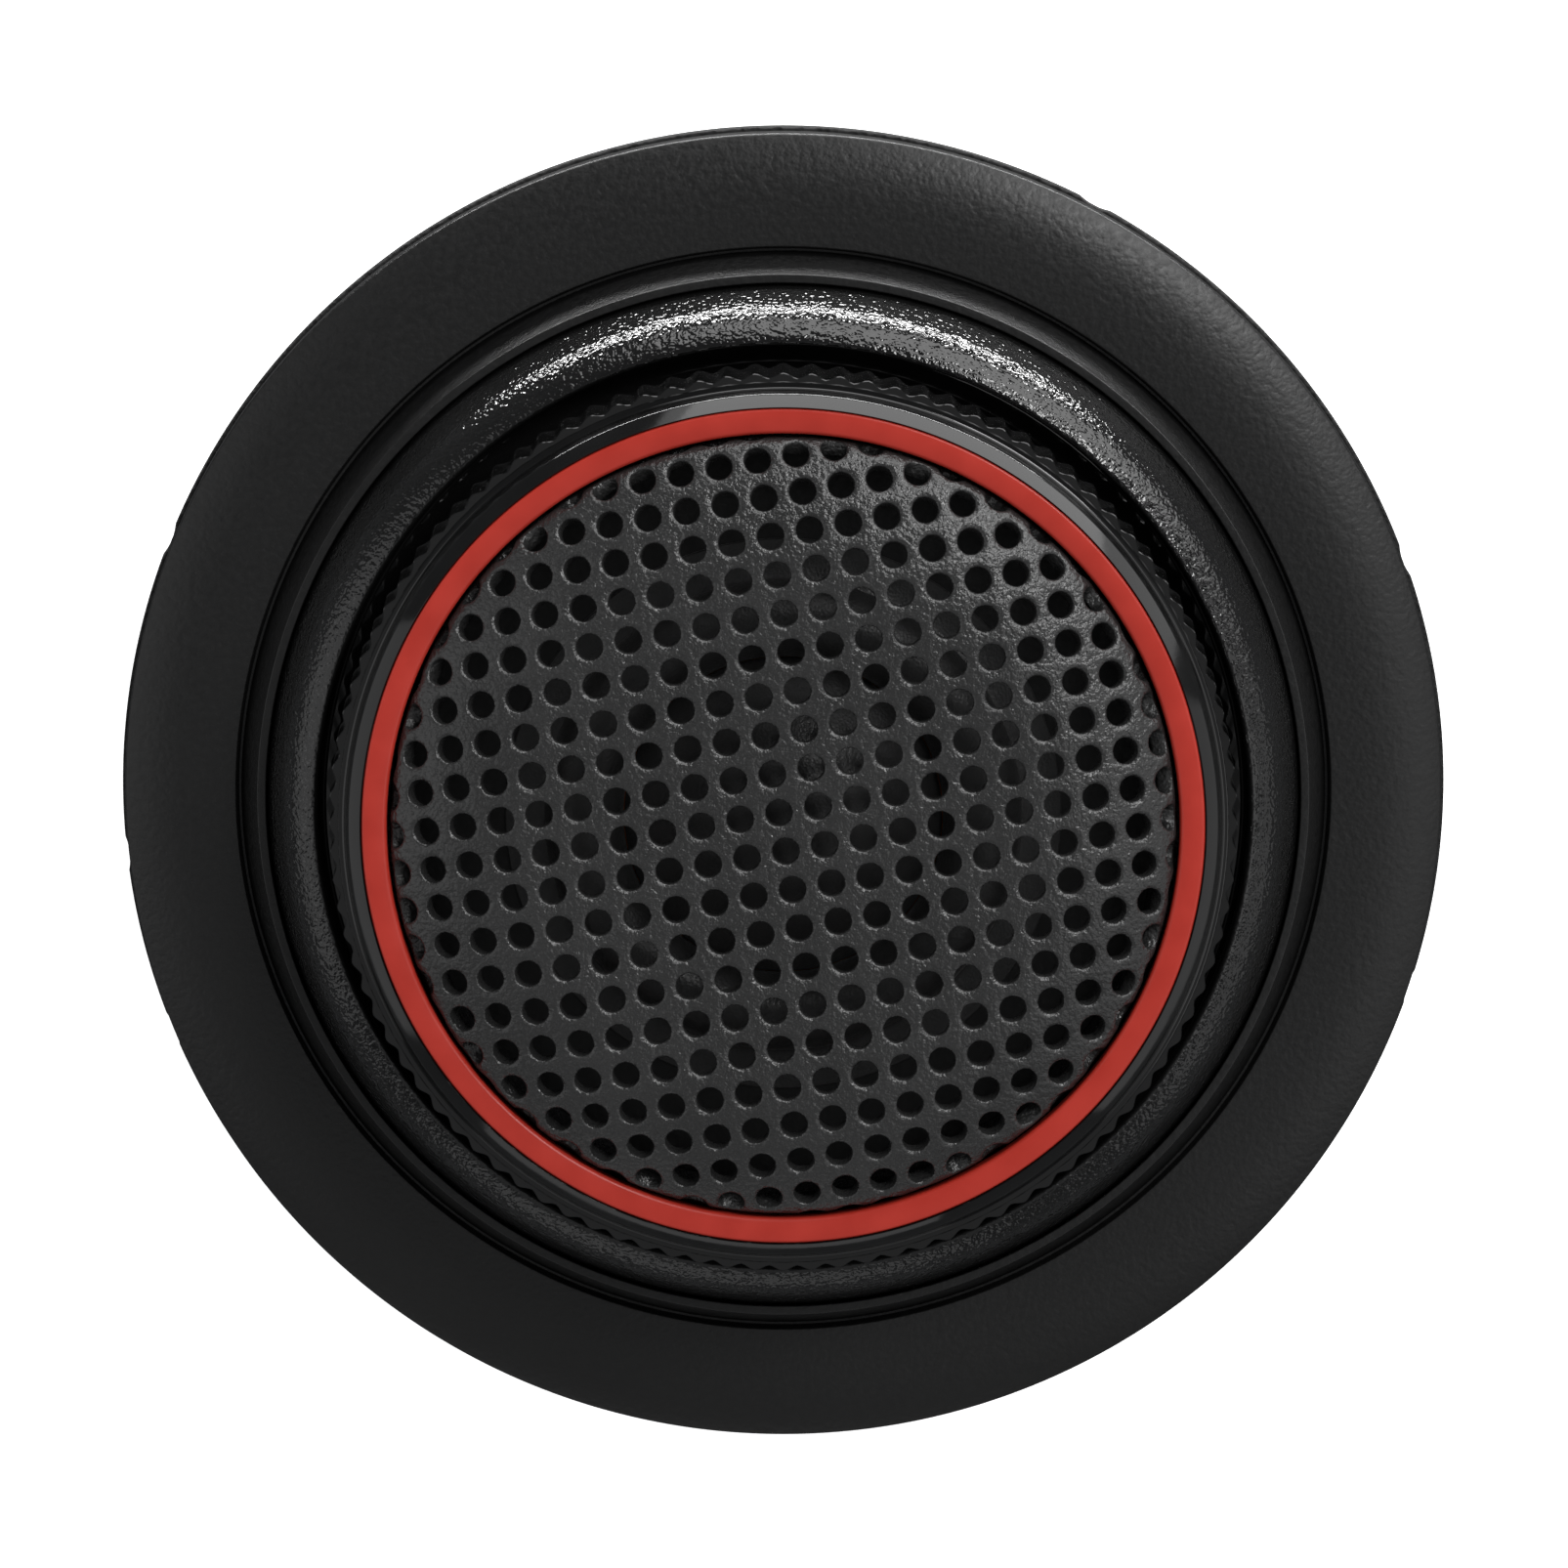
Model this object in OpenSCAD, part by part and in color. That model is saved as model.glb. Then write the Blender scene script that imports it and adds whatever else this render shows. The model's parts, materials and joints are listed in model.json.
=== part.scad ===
// Aimable flush-mount car tweeter, lying on its back.
// Z = 0 is the panel surface that the gasket rests on, and +Z points at the listener.
// The cup drops into a round hole. A ball ring swivels in the cup, a knurled capsule
// twists into the ball ring, and the capsule holds a small edge-driven dome.

/* [Capsule front] */
// Radius of the grille where it meets the accent ring
grille_r = 15.8; // [13:0.1:20]
// Seam between the grille and the accent ring
grille_seam = 0.14; // [0.1:0.01:0.3]
// Width of the coloured accent ring
accent_w = 1.03; // [0.6:0.01:2]
// Depth of the accent ring
accent_t = 1; // [0.6:0.1:1.6]
// Width of the glossy ring around the accent ring
gloss_w = 0.69; // [0.5:0.01:1.5]
// Height of the front ring above the panel
front_z = 12.4; // [12:0.1:14]
// Height of the glossy ring above the knurled band
front_step = 1; // [0.6:0.1:1.4]
// Width of the ledge between the glossy ring and the teeth
ledge_w = 0.44; // [0.3:0.01:1]

/* [Knurled band] */
// Number of teeth around the band
teeth = 100; // [60:1:140]
// Height of a tooth
tooth_h = 0.21; // [0.1:0.01:0.4]
// Height of the knurled band
band_h = 3.5; // [2.5:0.1:3.8]

/* [Grille] */
// Sheet thickness
grille_t = 0.7; // [0.4:0.05:1]
// Radius of the flat middle
grille_flat_r = 10.2; // [6:0.1:12]
// Radius of the curve that rolls down to the edge
grille_curve_r = 11; // [8:0.5:16]
// Distance between hole centres
hole_pitch = 1.58; // [1.4:0.01:2.4]
// Diameter of a hole
hole_d = 1.1; // [0.8:0.05:1.2]
// Turn of the hole lattice
hole_turn = 9.85; // [0:0.05:45]
// Sideways place of the lattice's first hole
hole_shift_x = -0.17; // [-0.8:0.01:0.8]
// Upward place of the lattice's first hole
hole_shift_y = 0.85; // [-0.9:0.01:0.9]

/* [Swivel] */
// Gap between the teeth and the lip of the ball ring
lip_gap = 0.6; // [0.4:0.05:1.5]
// Radial width of the ball ring outside its lip
bead_w = 3; // [2.6:0.1:4]
// Radius of the roll at the front of the ball ring
bead_roll_r = 2.5; // [1.8:0.1:3]
// Height of the ball centre
ball_z = -2; // [-3:0.1:-1]
// Tilt to each side
tilt = 7; // [4:0.5:8]
// Thickness of the slip liner
liner_t = 0.5; // [0.4:0.05:1]
// Turn that frees the bayonet
twist = 20; // [15:1:30]

/* [Cup and flange] */
// Height of the cup's rim
rim_z = 4.3; // [4:0.1:5]
// Width of the groove outside the rim
groove_w = 0.92; // [0.7:0.01:1.5]
// Width of the flange face outside the groove
flange_w = 4.6; // [4:0.1:8]
// Thickness of the flange at its edge
flange_edge_t = 1.3; // [1:0.1:2]
// Rise of the flange face from edge to groove
flange_rise = 0.5; // [0.2:0.1:0.8]
// Wall of the barrel
barrel_wall = 1.3; // [1.2:0.1:2]
// Thickness of the gasket
gasket_t = 0.8; // [0.5:0.1:1.5]
// Overhang of the gasket past the flange
gasket_overhang = 0.15; // [0:0.01:0.4]
// Thickness of the rear cover
cover_t = 1.5; // [1.2:0.1:2.5]

/* [Rear fittings] */
// Radius of the tapped hole in the insert
insert_bore_r = 1.65; // [1:0.05:2.5]
// Wall of the insert
insert_wall = 1.2; // [0.8:0.1:2]
// Length of the insert
insert_h = 5; // [4:0.1:6]
// Radius of the cable hole in the grommet
cable_r = 1.6; // [1:0.1:2]
// Distance of the grommet from the axis
grommet_x = 10.5; // [9:0.1:11.5]

/* [Motor] */
// Outer radius of the voice coil former
coil_r = 6.42; // [5.5:0.01:7]
// Thickness of the voice coil winding
coil_t = 0.4; // [0.3:0.01:0.5]
// Length of the voice coil winding
coil_h = 2; // [1.6:0.1:2.4]
// Radial width of the surround's roll
roll_w = 3.2; // [2.5:0.1:4]
// Radius of curvature of the dome
dome_r = 9; // [8:0.1:12]
// Thickness of the diaphragm fabric
fabric_t = 0.2; // [0.15:0.01:0.3]
// Thickness of the magnet
magnet_h = 3.5; // [2.5:0.1:4]
// Thickness of the top plate and of the yoke's floor
plate_t = 1.5; // [1:0.1:1.5]
// Wall of the yoke
yoke_wall = 1.95; // [1.5:0.05:2.2]

/* [Hidden] */
$fn = 96;

// Clearances
run_gap = 0.08;
slip_gap = 0.05;
lip_ball_gap = 0.1;
rest_gap = 0.1;
sweep_gap = 0.35;
cut = 1;

// Capsule front
accent_in_r = grille_r + grille_seam;
accent_out_r = accent_in_r + accent_w;
front_r = accent_out_r + gloss_w;
valley_r = front_r + ledge_w;
tip_r = valley_r + tooth_h;
accent_z = front_z - accent_t;
band_top_z = front_z - front_step;
band_low_z = band_top_z - band_h;
front_round = 0.12;

// Screwed joint between bezel and capsule
bezel_bore_r = grille_r + 0.85;
bezel_skirt_r = bezel_bore_r + 0.85;
bezel_aperture_r = grille_r + 0.2;
bezel_low_z = band_low_z - 2.3;
grille_foot_z = band_low_z + 0.1;
grille_foot_r = bezel_bore_r - rest_gap;

// Grille dome
bend_r = 0.6;
bend_in_r = grille_r - bend_r;
bend_a = asin((bend_in_r - grille_flat_r) / (grille_curve_r - bend_r));
grille_proud = 1.55;
grille_top_z = front_z + grille_proud;
grille_curve_z = grille_top_z - grille_curve_r;
bend_z = grille_curve_z + (grille_curve_r - bend_r) * cos(bend_a);
hole_keep_r = grille_r - hole_d / 2 - 0.05;
grille_step = 9;
bend_step = 20;

// Capsule body
capsule_r = grille_r + 1.32;
capsule_neck_r = bezel_bore_r - slip_gap;
capsule_shoulder_z = bezel_low_z - 0.2;
capsule_in_r = grille_r - 1.6;
capsule_step_r = grille_r - 0.6;
capsule_step_z = grille_foot_z - 1;
capsule_floor_t = 1.5;
o_ring_t = 0.4;
o_ring_r = capsule_r + 0.03 - o_ring_t;
o_ring_z = capsule_shoulder_z - 1.8;

// Bayonet
lug_z = 1;
lug_h = 1;
lug_w = 1;
lug_a = 9;
lugs = 3;

// Ball ring
lip_r = tip_r + lip_gap;
ball_r = lip_r + bead_w;
ball_bore_r = capsule_r + run_gap;
roll_a = asin((band_low_z - 0.45 - ball_z - bead_roll_r) / (ball_r - bead_roll_r));
roll_c_r = (ball_r - bead_roll_r) * cos(roll_a);
roll_c_z = ball_z + (ball_r - bead_roll_r) * sin(roll_a);
lip_a = acos((lip_r + 0.2 - roll_c_r) / bead_roll_r);
ball_step_z = capsule_shoulder_z - 0.2;
shelf_z = -capsule_floor_t - rest_gap;
shelf_t = 1.6;
shelf_r = capsule_r - 2.5;

// Swivel zones, as angles above the ball's equator
tilt_diagonal = acos(cos(tilt) * cos(tilt));
lip_zone_z = gasket_t + 0.8;
liner_top_a = asin((lip_zone_z - ball_z) / (ball_r + liner_t)) - tilt - 0.6;
liner_low_a = -6;
seat_top_a = liner_low_a - tilt - 1;
seat_low_a = seat_top_a - 3.5;
ball_low_a = seat_low_a - tilt_diagonal;
swept_low_a = max(-90, ball_low_a - tilt_diagonal);
liner_in_r = ball_r + slip_gap;
liner_out_r = liner_in_r + liner_t;
seat_r = liner_out_r + slip_gap;
lip_seat_r = ball_r + lip_ball_gap;

// Cup
barrel_r = seat_r + barrel_wall;
rim_in_r = sqrt(pow(lip_seat_r, 2) - pow(rim_z - ball_z, 2));
rim_t = 0.4;
rim_round = 0.1;
rim_out_r = rim_in_r + rim_t;
flange_in_r = rim_out_r + groove_w;
flange_r = flange_in_r + flange_w;
flange_edge_z = gasket_t + flange_edge_t;
flange_face_z = flange_edge_z + flange_rise;
groove_z = flange_face_z - 0.3;
bevel = 0.26;
floor_z = ball_z + ball_r * sin(swept_low_a) - sweep_gap;
cover_z = floor_z - cover_t;
snap_t = 0.6;
snap_depth = 0.5;
snap_z = cover_z - snap_t;
barrel_z = snap_z - 0.5;
barrel_chamfer = 0.4;

// Pressure ring and wave spring
press_r = seat_r - rest_gap;
press_in_r = lip_seat_r * cos(seat_low_a) + 0.3;
spring_gap = 1.8;
press_low_z = floor_z + spring_gap;
spring_t = 0.3;
spring_waves = 3;
spring_steps = 72;

// Gasket
gasket_seat_r = barrel_r + 0.4;
gasket_in_r = gasket_seat_r + rest_gap;
gasket_r = flange_r + gasket_overhang;
notch_w = 1.2;
notch_angles = [20, 62, 158, 186, 202, 255, 318, 342];

// Insert and grommet
insert_r = insert_bore_r + insert_wall;
boss_r = insert_r + 1.2;
grommet_neck_r = cable_r + 0.9;
grommet_flange_r = grommet_neck_r + 1;
grommet_flange_t = 0.5;
grommet_proud = 0.4;

// Motor
yoke_h = plate_t + magnet_h + plate_t;
former_t = 0.12;
former_in_r = coil_r - former_t;
top_plate_r = former_in_r - 0.25;
magnet_r = top_plate_r - 0.25;
winding_r = coil_r + coil_t;
yoke_in_r = winding_r + 0.4;
yoke_r = yoke_in_r + yoke_wall;
face_top_z = grille_foot_z + 0.6;
edge_z = face_top_z + fabric_t;
dome_c_z = edge_z - sqrt(pow(dome_r, 2) - pow(coil_r, 2));
roll_in_r = coil_r + 0.05;
roll_out_r = roll_in_r + roll_w;
surround_r = roll_out_r + 1.6;
faceplate_in_r = roll_out_r + 0.1;
faceplate_r = capsule_step_r - rest_gap;
felt_r = magnet_r - 0.5;
felt_t = 1;
winding_z = yoke_h - plate_t / 2 - coil_h / 2;
lead_r = 0.15;
lead_z = capsule_step_z + 0.5;

// Terminals
board = [16, 6.4, 1.2];
board_y = -8.5;
blade = [2.8, 0.5];
blade_x = 3.6;
blade_low_z = -8;
blade_top_z = -0.4;
screw_x = 6.6;
screw_r = 0.7;
screw_head_r = 1.2;
screw_head_t = 0.7;
screw_bite = 1.1;

// Points along an arc about [r, z], at most the given number of degrees apart
function arc(r, z, radius, from, to, step = 3) =
    let (steps = max(1, ceil(abs(to - from) / step)))
    [for (i = [0:steps])
        let (a = from + (to - from) * i / steps)
        [r + radius * cos(a), z + radius * sin(a)]];

// Points along a circle about the ball's centre
function ball_arc(radius, from, to) = arc(0, ball_z, radius, from, to);

// Angle above the ball's equator at which a sphere reaches a height
function ball_angle(radius, z) = asin((z - ball_z) / radius);

module ring(r_out, r_in, z, h) {
    translate([0, 0, z])
        difference() {
            cylinder(r = r_out, h = h);
            translate([0, 0, -cut])
                cylinder(r = r_in, h = h + 2 * cut);
        }
}

// A stretch of ring between two angles
module ring_sector(r_out, r_in, z, h, from, to) {
    rotate([0, 0, from])
        rotate_extrude(angle = to - from)
            translate([r_in, z])
                square([r_out - r_in, h]);
}

module mount_cup() {
    lip_top_a = ball_angle(lip_seat_r, rim_z - rim_round);
    lip_low_a = ball_angle(lip_seat_r, lip_zone_z);
    color("#1c1c1d")
        difference() {
            rotate_extrude()
                polygon(concat(
                    [
                        [barrel_r, 0],
                        [gasket_seat_r, 0],
                        [gasket_seat_r, gasket_t],
                        [flange_r, gasket_t],
                        [flange_r, flange_edge_z - bevel],
                        [flange_r - bevel, flange_edge_z],
                        [flange_in_r + rim_round, flange_face_z],
                        [flange_in_r, flange_face_z - rim_round],
                        [flange_in_r - 0.12, groove_z],
                        [rim_out_r, rim_z - rim_round],
                        [rim_out_r - rim_round, rim_z],
                        [rim_in_r + rim_round, rim_z]
                    ],
                    ball_arc(lip_seat_r, lip_top_a, lip_low_a),
                    ball_arc(seat_r, ball_angle(seat_r, lip_zone_z), 0),
                    [
                        [seat_r, barrel_z],
                        [barrel_r - barrel_chamfer, barrel_z],
                        [barrel_r, barrel_z + barrel_chamfer]
                    ]
                ));
            ring(seat_r + snap_depth, seat_r - cut, snap_z, snap_t);
        }
}

module panel_gasket() {
    color("#101011")
        difference() {
            ring(gasket_r, gasket_in_r, 0, gasket_t);
            for (a = notch_angles)
                rotate([0, 0, a])
                    translate([flange_r, -notch_w / 2, -cut])
                        cube([cut, notch_w, gasket_t + 2 * cut]);
        }
}

module pressure_ring() {
    top_z = ball_z + lip_seat_r * sin(seat_top_a);
    color("#d8d6cf")
        rotate_extrude()
            polygon(concat(
                ball_arc(lip_seat_r, seat_top_a, seat_low_a),
                [
                    [press_in_r, ball_z + lip_seat_r * sin(seat_low_a)],
                    [press_in_r, press_low_z],
                    [press_r, press_low_z],
                    [press_r, top_z]
                ]
            ));
}

// Flat spring ring that rises and falls between the pressure ring and the cover
module wave_spring() {
    swing = (spring_gap - spring_t) / 2 - slip_gap;
    mid_z = floor_z + spring_gap / 2;
    radii = [press_in_r + 0.1, press_r - 0.1];
    corners = [[0, -1], [1, -1], [1, 1], [0, 1]];
    points = [
        for (i = [0:spring_steps - 1])
            let (a = 360 * i / spring_steps, z = mid_z + swing * sin(spring_waves * a))
            for (c = corners)
                [radii[c[0]] * cos(a), radii[c[0]] * sin(a), z + c[1] * spring_t / 2]
    ];
    faces = [
        for (i = [0:spring_steps - 1], k = [0:3])
            let (j = (i + 1) % spring_steps, m = (k + 1) % 4)
            [4 * i + k, 4 * i + m, 4 * j + m, 4 * j + k]
    ];
    color("#b9bcc0")
        polyhedron(points = points, faces = faces, convexity = 6);
}

module rear_cover() {
    color("#1c1c1d")
        difference() {
            union() {
                translate([0, 0, cover_z])
                    cylinder(r = seat_r - run_gap, h = cover_t);
                translate([0, 0, barrel_z])
                    cylinder(r = boss_r, h = insert_h);
            }
            translate([0, 0, barrel_z - cut])
                cylinder(r = insert_r, h = insert_h + 2 * cut);
            translate([grommet_x, 0, cover_z - cut])
                cylinder(r = grommet_neck_r, h = cover_t + 2 * cut);
        }
}

// Snap ring with an open gap, seated in the barrel's groove
module retaining_ring() {
    gap_a = 24;
    color("#8f9296")
        ring_sector(
            seat_r + snap_depth - rest_gap, seat_r - 1.2, snap_z + rest_gap / 2, snap_t - rest_gap,
            90 + gap_a / 2, 450 - gap_a / 2
        );
}

module clamp_insert() {
    color("#c9a24a")
        ring(insert_r, insert_bore_r, barrel_z, insert_h);
}

module cable_grommet() {
    outer_z = cover_z - grommet_flange_t;
    color("#18181a")
        translate([grommet_x, 0, 0])
            rotate_extrude()
                polygon([
                    [cable_r, outer_z],
                    [grommet_flange_r, outer_z],
                    [grommet_flange_r, cover_z],
                    [grommet_neck_r, cover_z],
                    [grommet_neck_r, floor_z],
                    [grommet_flange_r, floor_z],
                    [grommet_neck_r, floor_z + grommet_proud],
                    [cable_r, floor_z + grommet_proud]
                ]);
}

module swivel_liner() {
    color("#e4e1d8")
        rotate_extrude()
            polygon(concat(
                ball_arc(liner_out_r, liner_low_a, liner_top_a),
                ball_arc(liner_in_r, liner_top_a, liner_low_a)
            ));
}

// L-shaped slot: down the entry, then around to the locked place
module bayonet_slot() {
    side = lug_a / 2 + 1;
    slot_r = capsule_r + lug_w + rest_gap;
    slot_in_r = ball_bore_r - cut;
    ring_sector(slot_r, slot_in_r, lug_z - rest_gap, lug_h + 2 * rest_gap, -side, twist + side);
    ring_sector(slot_r, slot_in_r, lug_z - rest_gap, ball_step_z - lug_z + cut, twist - side, twist + side);
}

module swivel_ball() {
    low_z = ball_z + ball_r * sin(ball_low_a);
    skirt_in_r = ball_r * cos(ball_low_a) - 2;
    color("#0c0c0d")
        difference() {
            rotate_extrude()
                polygon(concat(
                    ball_arc(ball_r, ball_low_a, roll_a),
                    arc(roll_c_r, roll_c_z, bead_roll_r, roll_a + 3, lip_a),
                    [
                        [lip_r, roll_c_z + bead_roll_r * sin(lip_a) - 0.15],
                        [lip_r, ball_step_z],
                        [ball_bore_r, ball_step_z],
                        [ball_bore_r, shelf_z],
                        [shelf_r, shelf_z],
                        [shelf_r, shelf_z - shelf_t],
                        [min(ball_bore_r, skirt_in_r), shelf_z - shelf_t],
                        [skirt_in_r, low_z]
                    ]
                ));
            for (i = [0:lugs - 1])
                rotate([0, 0, 360 * i / lugs])
                    bayonet_slot();
        }
}

// Space taken by the parts that pass through the terminal board and the capsule floor
module board_cuts() {
    for (side = [-1, 1]) {
        translate([side * blade_x - blade[0] / 2, board_y - blade[1] / 2, blade_low_z])
            cube([blade[0], blade[1], blade_top_z - blade_low_z]);
        translate([side * screw_x, board_y, -capsule_floor_t - board[2] - cut])
            cylinder(r = screw_r, h = board[2] + screw_bite + cut, $fn = 24);
    }
}

module capsule_body() {
    color("#161617")
        difference() {
            union() {
                rotate_extrude()
                    polygon([
                        [0, -capsule_floor_t],
                        [capsule_r, -capsule_floor_t],
                        [capsule_r, o_ring_z - o_ring_t - slip_gap],
                        [o_ring_r - o_ring_t, o_ring_z - o_ring_t - slip_gap],
                        [o_ring_r - o_ring_t, o_ring_z + o_ring_t + slip_gap],
                        [capsule_r, o_ring_z + o_ring_t + slip_gap],
                        [capsule_r, capsule_shoulder_z],
                        [capsule_neck_r, capsule_shoulder_z],
                        [capsule_neck_r, grille_foot_z],
                        [capsule_step_r, grille_foot_z],
                        [capsule_step_r, capsule_step_z],
                        [capsule_in_r, capsule_step_z],
                        [capsule_in_r, 0],
                        [0, 0]
                    ]);
                for (i = [0:lugs - 1])
                    rotate([0, 0, 360 * i / lugs])
                        ring_sector(capsule_r + lug_w, capsule_r - 1, lug_z, lug_h, -lug_a / 2, lug_a / 2);
            }
            board_cuts();
        }
}

module capsule_o_ring() {
    color("#202022")
        rotate_extrude()
            translate([o_ring_r, o_ring_z])
                circle(r = o_ring_t, $fn = 32);
}

module tooth_outline() {
    polygon([
        for (i = [0:2 * teeth - 1])
            let (a = 180 * i / teeth, r = i % 2 == 0 ? tip_r : valley_r)
            [r * cos(a), r * sin(a)]
    ]);
}

module knurled_bezel() {
    core_r = valley_r - 0.2;
    color("#0f0f10") {
        rotate_extrude()
            polygon([
                [bezel_bore_r, bezel_low_z],
                [bezel_skirt_r, bezel_low_z],
                [bezel_skirt_r, band_low_z],
                [core_r, band_low_z],
                [core_r, band_top_z],
                [front_r, band_top_z + 0.25],
                [front_r, front_z - front_round],
                [front_r - front_round, front_z],
                [accent_out_r, front_z],
                [accent_out_r, accent_z],
                [bezel_aperture_r, accent_z],
                [bezel_aperture_r, grille_foot_z + grille_t],
                [bezel_bore_r, grille_foot_z + grille_t]
            ]);
        translate([0, 0, band_low_z])
            linear_extrude(band_h)
                difference() {
                    tooth_outline();
                    circle(r = core_r - 0.1);
                }
    }
}

module accent_ring() {
    color("#a52c26")
        rotate_extrude()
            polygon([
                [accent_in_r, accent_z],
                [accent_out_r, accent_z],
                [accent_out_r, front_z - front_round],
                [accent_out_r - front_round, front_z],
                [accent_in_r + front_round, front_z],
                [accent_in_r, front_z - front_round]
            ]);
}

// Section of the grille sheet: domed top, tight bend, straight skirt and foot
module grille_section() {
    polygon(concat(
        [[0, grille_top_z]],
        arc(grille_flat_r, grille_curve_z, grille_curve_r, 90, 90 - bend_a, grille_step),
        arc(bend_in_r, bend_z, bend_r, 90 - bend_a - bend_step, 0, bend_step),
        [
            [grille_r, grille_foot_z + grille_t],
            [grille_foot_r, grille_foot_z + grille_t],
            [grille_foot_r, grille_foot_z],
            [grille_r - grille_t, grille_foot_z]
        ],
        arc(
            grille_flat_r, grille_curve_z, grille_curve_r - grille_t,
            acos((grille_r - grille_t - grille_flat_r) / (grille_curve_r - grille_t)), 90, grille_step
        ),
        [[0, grille_top_z - grille_t]]
    ));
}

module grille() {
    count = ceil(grille_r / hole_pitch) + 1;
    places = [
        for (i = [-count:count], j = [-count:count])
            let (across = i * hole_pitch, along = j * hole_pitch)
                [
                    hole_shift_x + across * cos(hole_turn) - along * sin(hole_turn),
                    hole_shift_y + across * sin(hole_turn) + along * cos(hole_turn)
                ]
    ];
    color("#2a2a2b")
        difference() {
            rotate_extrude()
                grille_section();
            for (place = places)
                if (norm(place) < hole_keep_r)
                    translate([place.x, place.y, face_top_z])
                        cylinder(d = hole_d, h = grille_top_z - face_top_z + cut, $fn = 24);
        }
}

module faceplate() {
    color("#1a1a1b")
        ring(faceplate_r, faceplate_in_r, capsule_step_z, face_top_z - capsule_step_z);
}

module surround() {
    mid_r = (roll_in_r + roll_out_r) / 2;
    outer_r = roll_w / 2;
    color("#2b2b2e")
        rotate_extrude()
            polygon(concat(
                arc(mid_r, face_top_z, outer_r, 180, 8),
                [
                    [roll_out_r, edge_z],
                    [surround_r, edge_z],
                    [surround_r, face_top_z],
                    [roll_out_r, face_top_z]
                ],
                arc(mid_r, face_top_z, outer_r - fabric_t, 0, 180)
            ));
}

// Two flexible leads from the coil to the faceplate
module tinsel_leads() {
    color("#b87333")
        for (side = [-1, 1])
            scale([side, 1, 1])
                translate([winding_r + 0.3, 0, lead_z])
                    rotate([0, 90, 0])
                        cylinder(r = lead_r, h = faceplate_in_r - winding_r - 0.3, $fn = 24);
}

module yoke() {
    color("#9a9da1")
        difference() {
            cylinder(r = yoke_r, h = yoke_h);
            translate([0, 0, plate_t])
                cylinder(r = yoke_in_r, h = yoke_h);
        }
}

module magnet() {
    color("#c3c6ca")
        translate([0, 0, plate_t])
            cylinder(r = magnet_r, h = magnet_h);
}

module top_plate() {
    color("#8d9094")
        translate([0, 0, plate_t + magnet_h])
            cylinder(r = top_plate_r, h = plate_t);
}

module damping_felt() {
    color("#55504a")
        translate([0, 0, yoke_h])
            cylinder(r = felt_r, h = felt_t);
}

module terminal_board() {
    color("#3a2d1c")
        difference() {
            translate([-board[0] / 2, board_y - board[1] / 2, -capsule_floor_t - board[2]])
                cube(board);
            board_cuts();
        }
}

module terminals() {
    color("#d9d3c0")
        for (side = [-1, 1])
            translate([side * blade_x - blade[0] / 2, board_y - blade[1] / 2, blade_low_z])
                cube([blade[0], blade[1], blade_top_z - blade_low_z]);
}

module board_screws() {
    head_z = -capsule_floor_t - board[2] - screw_head_t;
    color("#a9adb2")
        for (side = [-1, 1])
            translate([side * screw_x, board_y, head_z]) {
                cylinder(r = screw_head_r, h = screw_head_t, $fn = 32);
                cylinder(r = screw_r, h = screw_head_t + board[2] + screw_bite, $fn = 24);
            }
}

module dome() {
    edge_a = acos(coil_r / dome_r);
    inner_r = dome_r - fabric_t;
    color("#232326")
        rotate_extrude()
            polygon(concat(
                arc(0, dome_c_z, dome_r, edge_a, 90),
                arc(0, dome_c_z, inner_r, 90, acos(former_in_r / inner_r)),
                [
                    [former_in_r, edge_z - 0.1],
                    [coil_r, edge_z - 0.1]
                ]
            ));
}

module coil_former() {
    color("#c7b79a")
        ring(coil_r, former_in_r, winding_z - 0.2, edge_z - 0.1 - winding_z + 0.2);
}

module voice_coil() {
    color("#b5652b")
        ring(winding_r, coil_r, winding_z, coil_h);
}

mount_cup();
panel_gasket();
pressure_ring();
wave_spring();
rear_cover();
retaining_ring();
clamp_insert();
cable_grommet();
swivel_liner();
swivel_ball();
capsule_body();
capsule_o_ring();
knurled_bezel();
accent_ring();
grille();
faceplate();
surround();
tinsel_leads();
yoke();
magnet();
top_plate();
damping_felt();
terminal_board();
terminals();
board_screws();
dome();
coil_former();
voice_coil();
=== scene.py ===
import json
import math

import bpy
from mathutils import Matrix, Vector
from mathutils.geometry import delaunay_2d_cdt


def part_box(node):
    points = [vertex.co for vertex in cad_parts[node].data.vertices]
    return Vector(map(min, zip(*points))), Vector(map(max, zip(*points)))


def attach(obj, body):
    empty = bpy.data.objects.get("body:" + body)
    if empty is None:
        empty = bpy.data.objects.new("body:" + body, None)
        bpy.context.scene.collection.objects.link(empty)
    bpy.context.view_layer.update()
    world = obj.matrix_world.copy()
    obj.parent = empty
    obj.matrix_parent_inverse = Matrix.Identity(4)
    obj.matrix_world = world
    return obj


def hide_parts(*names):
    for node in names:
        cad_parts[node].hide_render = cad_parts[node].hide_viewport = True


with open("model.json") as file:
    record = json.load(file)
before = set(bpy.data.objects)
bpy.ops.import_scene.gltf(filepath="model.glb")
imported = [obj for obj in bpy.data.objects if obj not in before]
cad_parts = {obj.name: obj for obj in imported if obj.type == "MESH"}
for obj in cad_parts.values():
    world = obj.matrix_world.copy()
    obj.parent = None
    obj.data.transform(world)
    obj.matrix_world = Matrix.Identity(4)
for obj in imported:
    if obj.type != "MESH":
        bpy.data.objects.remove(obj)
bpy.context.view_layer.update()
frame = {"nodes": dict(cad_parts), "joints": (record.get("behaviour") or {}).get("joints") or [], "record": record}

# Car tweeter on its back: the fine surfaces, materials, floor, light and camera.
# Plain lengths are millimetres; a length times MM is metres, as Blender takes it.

MM = 0.001


# ---------------------------------------------------------------- frame sizes

def node_top(node):
    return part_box(node)[1].z / MM


def node_low(node):
    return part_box(node)[0].z / MM


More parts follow.
